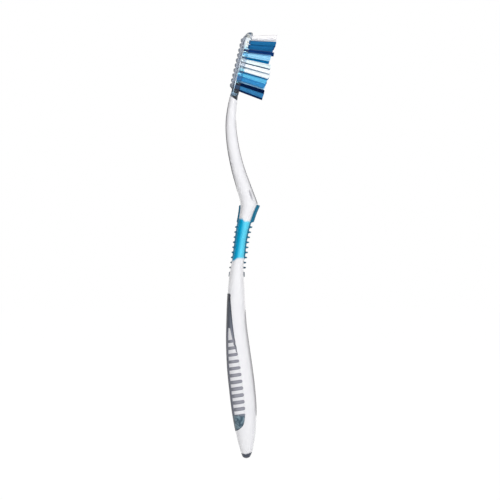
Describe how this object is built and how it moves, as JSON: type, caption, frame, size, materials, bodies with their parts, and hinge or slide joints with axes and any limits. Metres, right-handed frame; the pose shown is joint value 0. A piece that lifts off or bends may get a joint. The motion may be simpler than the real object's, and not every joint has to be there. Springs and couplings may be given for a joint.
{
  "type": "manual toothbrush",
  "caption": "Adult manual toothbrush with a curved moulded handle, soft ribbed grips, a clear tufted head and a tongue cleaner.",
  "frame": {"origin": "lowest point of the handle's rounded end, on the middle plane", "axes": "+Z from the handle's end up to the head, +X towards the bristles, +Y across the width"},
  "size_m": [0.0227, 0.0138, 0.19],
  "materials": {
    "white_plastic": "smooth gloss",
    "clear_plastic": "clear gloss",
    "slate_plastic": "satin",
    "teal_rubber": "soft satin",
    "teal_gel": "glossy",
    "grey_rubber": "soft satin",
    "cleaner_rubber": "soft matt",
    "bristle_white": "fine filaments",
    "bristle_light_blue": "fine filaments",
    "bristle_mid_blue": "fine filaments",
    "bristle_deep_blue": "fine filaments",
    "bristle_navy": "fine filaments",
    "anchor_wire": "drawn wire"
  },
  "bodies": {
    "root": {"white_handle": "white_plastic", "clear_head": "clear_plastic", "end_cap": "slate_plastic", "thumb_pad": "teal_rubber", "finger_pad": "teal_rubber", "side_bands": "teal_gel", "palm_grip": "grey_rubber", "tongue_cleaner": "cleaner_rubber", "tuft_row_01": "bristle_mid_blue", "tuft_row_02": "bristle_navy", "tuft_row_03": "bristle_light_blue", "tuft_row_04": "bristle_light_blue", "tuft_row_05": "bristle_white", "tuft_row_06": "bristle_white", "tuft_row_07": "bristle_white", "tuft_row_08": "bristle_light_blue", "tuft_row_09": "bristle_navy", "tuft_row_10": "bristle_deep_blue", "tuft_row_11": "bristle_deep_blue", "tip_tuft": "bristle_white", "tuft_anchors": "anchor_wire"}
  },
  "joints": []
}
